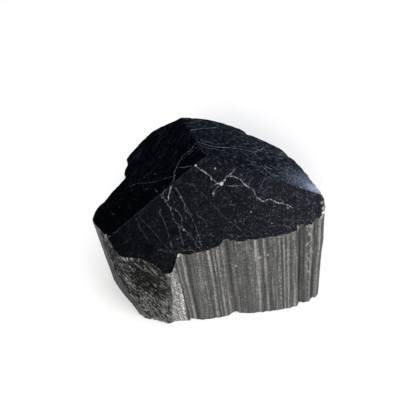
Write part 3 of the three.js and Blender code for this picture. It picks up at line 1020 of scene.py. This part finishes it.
def naturalWall():
    # colour = dark to grey to wornAndLit by tone, then the break's colours by rough, then chalkAndHighlight
    # by bruised;
    # tone = 0.465 + worn crests with painted light and shade * beads + lines + grain + clouds + broad bands +
    # cracks + nicks
    material, tree, shader = newFinish("natural_wall")
    place, x, y, z = objectPlace(tree)
    marks = {}
    for name in ("wear", "rough", "hollow", "bruised", "cracked"):
        settings = {"attribute_type": "GEOMETRY", "attribute_name": name}
        marks[name] = Wire.node(tree, "ShaderNodeAttribute", settings, {}, "Fac")
    wear, rough = marks["wear"], marks["rough"]

    # upright coordinates: X + tan(lean) * Z, so that a pattern runs along the grooves
    lean = math.tan(math.radians(crystal["leanDegrees"]))
    uprightX = x + lean * z
    upright = joined(uprightX, y, z)

    # whole wall: worn crests with painted highlight and painted shade, broken into beads, fine lines, grain
    lines = noise(tree, upright, 0.4, 3.0, 0.65, (1.0, 1.0, 40.0))
    broad = noise(tree, upright, 2.4, 2.0, 0.6, (1.0, 1.0, 12.0), shift=3.3)
    grain = noise(tree, place, 0.6, 3.0, 0.75, shift=5.5)
    clouds = noise(tree, place, 5.0, 3.0, 0.6, shift=8.1)
    beads = noise(tree, upright, 0.8, 2.0, 0.6, (1.0, 1.0, 2.5), shift=11.9)
    tone = 0.465 + wear * (beads * 1.3 + 0.05) * 0.68 + (lines - 0.5) * 1.4 + (grain - 0.5) * 2.2
    tone = tone + (clouds - 0.5) * 0.3 + (broad - 0.5) * 0.35

    # cracks in their band, nicks on the front
    size, width = wallLook["crack"]
    cracks = contour(noise(tree, upright, size, 2.0, 0.6, (1.0, 1.0, 2.2), shift=15.3), 0.5, width)
    tone = tone + cracks * marks["cracked"]
    inFront = (-20.0 - y * 1000).held()
    for nickX, level, radius in wallLook["nicks"]:
        away = distanceFrom(uprightX * 1000, z * 1000, nickX, level) / radius
        tone = tone + (1.6 - away).held() * inFront * 0.8
    below = (tone * 2.0).held()
    above = (tone * 2.0 - 1.0).held() ** 1.3
    colour = mixColours(tree, below, wallLook["dark"], wallLook["grey"])
    colour = mixColours(tree, above, colour, wallLook["wornAndLit"])

    # broken corner: fibres along the splinters, with painted shade towards the top under the polished rim and
    # in the hollow
    slantX, slantY = walls["splinterSlant"]
    warp = (noise(tree, place, 2.6, 1.0, 0.5, shift=17.2) - 0.5) * (2.5 * mm)
    slanted = joined(x + (lean + slantX) * z + warp, y + slantY * z - warp, z)
    size, stretch = wallLook["fibre"]
    fibres = noise(tree, slanted, size, 1.5, 0.6, (1.0, 1.0, stretch), shift=1.9)
    size, stretch = wallLook["splinter"]
    splinters = noise(tree, slanted, size, 2.0, 0.6, (1.0, 1.0, stretch), shift=6.6)
    broken = (fibres - 0.5) * 10.0 + (splinters - 0.5) * 8.0 + (grain - 0.5) * 3.0 + 0.15 * wear
    broken = broken - 0.64 + 0.92 * (1 - z * 1000 / wallLook["paleFoot"]).held()
    broken = (broken * (1 - 0.55 * marks["hollow"])).held() ** 1.5
    brokenColour = mixColours(tree, broken, wallLook["breakDark"], wallLook["breakLight"])
    brokenColour = mixColours(tree, (marks["hollow"] * 0.3).held(), brokenColour, wallLook["deep"])
    colour = mixColours(tree, (rough * 1.5).held(), colour, brokenColour)
    # painted highlight along the crest beside the break, and pale chips at the rim
    chalkAndHighlight = (marks["bruised"] * (0.42 + (fibres - 0.5) * 6.0 + (grain - 0.5) * 6.0)).held()
    colour = mixColours(tree, chalkAndHighlight, colour, wallLook["chalkAndHighlight"])

    roughness = wallLook["roughness"] + 0.12 * (grain - 0.5) - 0.08 * wear + 0.2 * rough
    height = lines * 0.12 * (1 - rough) + grain * 0.08 + rough * (fibres * 0.3 + splinters * 0.6)
    connect(shader, {
        "Base Color": colour, "Roughness": roughness.held(), "Normal": bumped(height),
        "IOR": wallLook["refraction"],
    })
    return material


# sawn base: matt dark grey with the saw's fine arcs
sawn = {
    "dark": (0.02, 0.02, 0.021),
    "light": (0.07, 0.07, 0.072),
    "arcRadius": 160.0,
    "pitch": 1.1,
    "roughness": 0.55,
}


def sawnBase():
    # tone = 0.4 + 0.12 * sin(2 pi * distance from the blade's centre / pitch) + grain + clouds
    material, tree, shader = newFinish("sawn_base")
    place, x, y, _ = objectPlace(tree)
    wobble = noise(tree, place, 7.0, 2.0, 0.5)
    distance = distanceFrom(x * 1000, y * 1000, sawn["arcRadius"], 0.0) + 0.6 * wobble
    waves = Wire.math("SINE", distance * (2 * math.pi / sawn["pitch"]))
    grain = noise(tree, place, 0.5, 3.0, 0.7)
    tone = 0.4 + 0.12 * waves + (grain - 0.5) * 0.7 + (noise(tree, place, 9.0, 2.0) - 0.5) * 0.6
    colour = mixColours(tree, tone.held(), sawn["dark"], sawn["light"])
    roughness = sawn["roughness"] + 0.1 * (grain - 0.5)
    normal = bumped(waves * 0.02 + grain * 0.03)
    connect(shader, {"Base Color": colour, "Roughness": roughness, "Normal": normal})
    return material


# studio: pale floor, soft lights, and the room that the polish mirrors
studio = {
    "floorSize": 1.3,  # metres
    "floorDrop": 0.05,  # millimetres below the stone's foot
    "floorColour": (0.93, 0.93, 0.935),
    "lights": [  # name, place in metres, size in metres, power in watts, colour
        ("key", (-0.2, -1.0, 0.6), 0.6, 14.0, (1.0, 0.985, 0.95)),
        ("fill", (0.8, -0.6, 0.5), 0.7, 5.0, (1.0, 0.985, 0.95)),
        ("top", (0.0, 0.1, 1.5), 1.8, 14.0, (1.0, 1.0, 1.0)),
    ],
    "aim": 0.02,  # height in metres that the lights point at
    # the room's brightness: ahead of the viewer, behind them, and overhead as middle, slope, bend
    "ahead": 0.007,
    "behind": 0.42,
    "overhead": (0.11, 0.7, 0.38),
    "floorGlow": 0.6,
    "back": {"from": 0.1, "reach": 0.2, "glow": 0.022},
    "rim": {"from": -0.06, "reach": 0.06, "glow": 0.05},
    "window": {"from": 0.3, "reach": 0.1, "to": 0.6, "glow": 0.24, "halfHeight": 0.12, "level": -0.03},
    "backColour": (0.68, 0.91, 1.26),
    "topColour": (0.94, 0.97, 1.06),
}


def makeFloor():
    # a square plane round the origin, which the polish doesn't mirror
    half = studio["floorSize"] / 2
    mesh = bpy.data.meshes.new("studio_floor")
    corners = [(-half, -half, 0.0), (half, -half, 0.0), (half, half, 0.0), (-half, half, 0.0)]
    mesh.from_pydata(corners, [], [(0, 1, 2, 3)])
    floor = bpy.data.objects.new("studio_floor", mesh)
    floor.location.z = -studio["floorDrop"] * mm
    bpy.context.collection.objects.link(floor)
    material, _, shader = newFinish("pale_floor")
    colour = (*studio["floorColour"], 1.0)
    connect(shader, {"Base Color": colour, "Roughness": 0.9, "Specular IOR Level": 0.2})
    mesh.materials.append(material)
    floor.visible_glossy = False


def makeLights():
    # round area lights aimed at the stone; the polish mirrors the room instead of them
    for name, place, size, power, colour in studio["lights"]:
        light = bpy.data.lights.new(name, "AREA")
        light.shape = "DISK"
        light.size = size
        light.energy = power
        light.color = colour
        lamp = bpy.data.objects.new(name, light)
        lamp.location = place
        lamp.rotation_euler = lampTurn((-place[0], -place[1], studio["aim"] - place[2]))
        lamp.visible_glossy = False
        bpy.context.collection.objects.link(lamp)


def lampTurn(direction):
    # the turn that points a light's -Z along a direction: first down from the zenith, then round
    x, y, z = direction
    tilt = math.atan2(math.hypot(x, y), -z)
    spin = math.atan2(-x, y)
    return (tilt, 0.0, spin)


def makeWorld():
    # mirrored room: dim behind the stone, bright behind the viewer, a glow and one low window at the
    # back right, a low rim of light along the back, then the overhead and the floor's glow over it;
    # white where the camera looks past
    world = bpy.data.worlds.new("room")
    bpy.context.scene.world = world
    world.use_nodes = True
    tree = world.node_tree
    tree.nodes.clear()
    towards = Wire.node(tree, "ShaderNodeTexCoord", {}, {}, "Generated")
    x = Wire.node(tree, "ShaderNodeSeparateXYZ", {}, {0: towards}, 0)
    y = x.other(1)
    z = x.other(2)
    back = (0.55 + 0.9 * y).held()
    level = studio["behind"] + (studio["ahead"] - studio["behind"]) * back
    farSide = ((y - 0.5) * 4.0).held()
    glow = studio["back"]
    level = level + ((x - glow["from"]) / glow["reach"]).held() * farSide * glow["glow"]
    rim = studio["rim"]
    level = level + ((rim["from"] - z) / rim["reach"]).held() * farSide * rim["glow"]
    window = studio["window"]
    bright = ((x - window["from"]) / window["reach"]).held() * ((window["to"] - x) * 5.0).held()
    bright = bright * (1 - (abs(z - window["level"]) / window["halfHeight"] - 1).held()) * farSide
    level = level + bright * bright * window["glow"]
    high = ((z - 0.35) / 0.4).held()
    middle, slope, bend = studio["overhead"]
    overhead = (middle + slope * x + bend * abs(x)).atLeast(0.03)
    level = level * (1 - high) + overhead * high
    low = ((-0.16 - z) / 0.25).held()
    level = level * (1 - low) + studio["floorGlow"] * low
    elsewhere = high.atLeast(1 - farSide).atLeast(low)
    tint = mixColours(tree, elsewhere, studio["backColour"], studio["topColour"])
    scaled = {"operation": "SCALE"}
    colour = Wire.node(tree, "ShaderNodeVectorMath", scaled, {0: tint, "Scale": level}, "Vector")
    seen = Wire.node(tree, "ShaderNodeLightPath", {}, {}, "Is Camera Ray")
    white = {0: seen, 4: colour, 5: (1.0, 1.0, 1.0)}
    colour = Wire.node(tree, "ShaderNodeMix", {"data_type": "VECTOR"}, white, 1)
    sky = Wire.node(tree, "ShaderNodeBackground", {}, {"Color": colour, "Strength": 1.0})
    output = tree.nodes.new("ShaderNodeOutputWorld")
    tree.links.new(sky.socket, output.inputs["Surface"])


# the camera: place and sizes in millimetres, tilt up from straight down in degrees, and the nearest
# distance it sees in metres
view = {"place": (-1.23, -148.44, 173.82), "tilt": 45.0, "sensor": 36.0, "lens": 46.73, "nearest": 0.01}


def makeCamera():
    # a 36 mm wide frame seen from in front, looking 45 degrees down
    lens = bpy.data.cameras.new("camera")
    lens.sensor_width = view["sensor"]
    lens.lens = view["lens"]
    lens.clip_start = view["nearest"]
    camera = bpy.data.objects.new("camera", lens)
    camera.location = [part * mm for part in view["place"]]
    camera.rotation_euler = (math.radians(view["tilt"]), 0.0, 0.0)
    bpy.context.collection.objects.link(camera)
    bpy.context.scene.camera = camera


makeCamera()
stone = makeStone()
for finish in (sawnBase(), naturalWall(), *map(polishedFacet, ("front", "right", "left"))):
    stone.data.materials.append(finish)
print("finishes made")
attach(stone, "root")
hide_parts("black_tourmaline")
makeFloor()
makeLights()
makeWorld()
bpy.context.scene.view_settings.view_transform = "Standard"
print("studio made")
